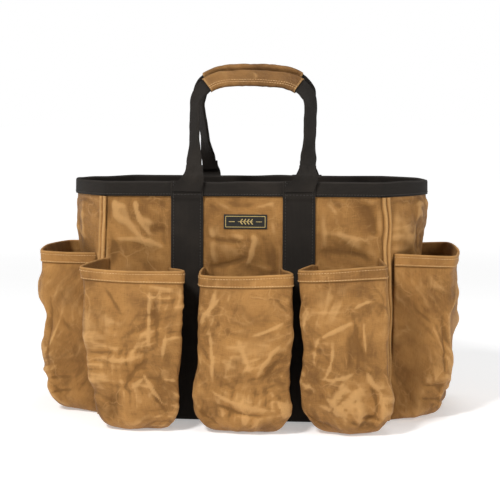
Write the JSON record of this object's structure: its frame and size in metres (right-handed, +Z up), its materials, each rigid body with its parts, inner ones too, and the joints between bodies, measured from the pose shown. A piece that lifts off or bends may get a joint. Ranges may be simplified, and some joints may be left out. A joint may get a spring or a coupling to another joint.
{
  "type": "garden tool bag",
  "caption": "Open waxed-canvas garden tote with box pockets on all four sides, black webbing sling straps and rim, and two folding webbing handles with canvas grips.",
  "frame": {"origin": "on the ground, in the middle of the bag's length and depth", "axes": "+X right as seen from the front, -Y towards the front (the labelled face), +Z up"},
  "size_m": [0.5146, 0.3436, 0.4233],
  "materials": {
    "waxed_canvas": "waxed cotton duck, matt with light creases",
    "black_webbing": "heavy cotton webbing, matt",
    "base_stiffener": "matt board",
    "label_weave": "woven label with a gold border"
  },
  "bodies": {
    "bag": {"front_panel": "waxed_canvas", "back_panel": "waxed_canvas", "right_gusset": "waxed_canvas", "left_gusset": "waxed_canvas", "base_panel": "waxed_canvas", "base_board": "base_stiffener", "rim_binding": "black_webbing", "front_right_corner_seam": "waxed_canvas", "front_left_corner_seam": "waxed_canvas", "back_right_corner_seam": "waxed_canvas", "back_left_corner_seam": "waxed_canvas", "right_sling_strap": "black_webbing", "left_sling_strap": "black_webbing", "woven_label": "label_weave", "front_pocket_left": "waxed_canvas", "front_pocket_middle": "waxed_canvas", "front_pocket_right": "waxed_canvas", "back_pocket_left": "waxed_canvas", "back_pocket_middle": "waxed_canvas", "back_pocket_right": "waxed_canvas", "right_side_pocket": "waxed_canvas", "left_side_pocket": "waxed_canvas"},
    "front_handle": {"front_handle_webbing": "black_webbing", "front_grip_sleeve": "waxed_canvas"},
    "back_handle": {"back_handle_webbing": "black_webbing", "back_grip_sleeve": "waxed_canvas"}
  },
  "joints": [
    {"name": "front_handle_fold", "type": "hinge", "parent": "bag", "child": "front_handle", "pos_m": [0, -0.0844, 0.2872], "axis": [1, 0, 0], "range_deg": [0, 165]},
    {"name": "back_handle_fold", "type": "hinge", "parent": "bag", "child": "back_handle", "pos_m": [0, 0.0844, 0.2872], "axis": [-1, 0, 0], "range_deg": [0, 165]}
  ]
}
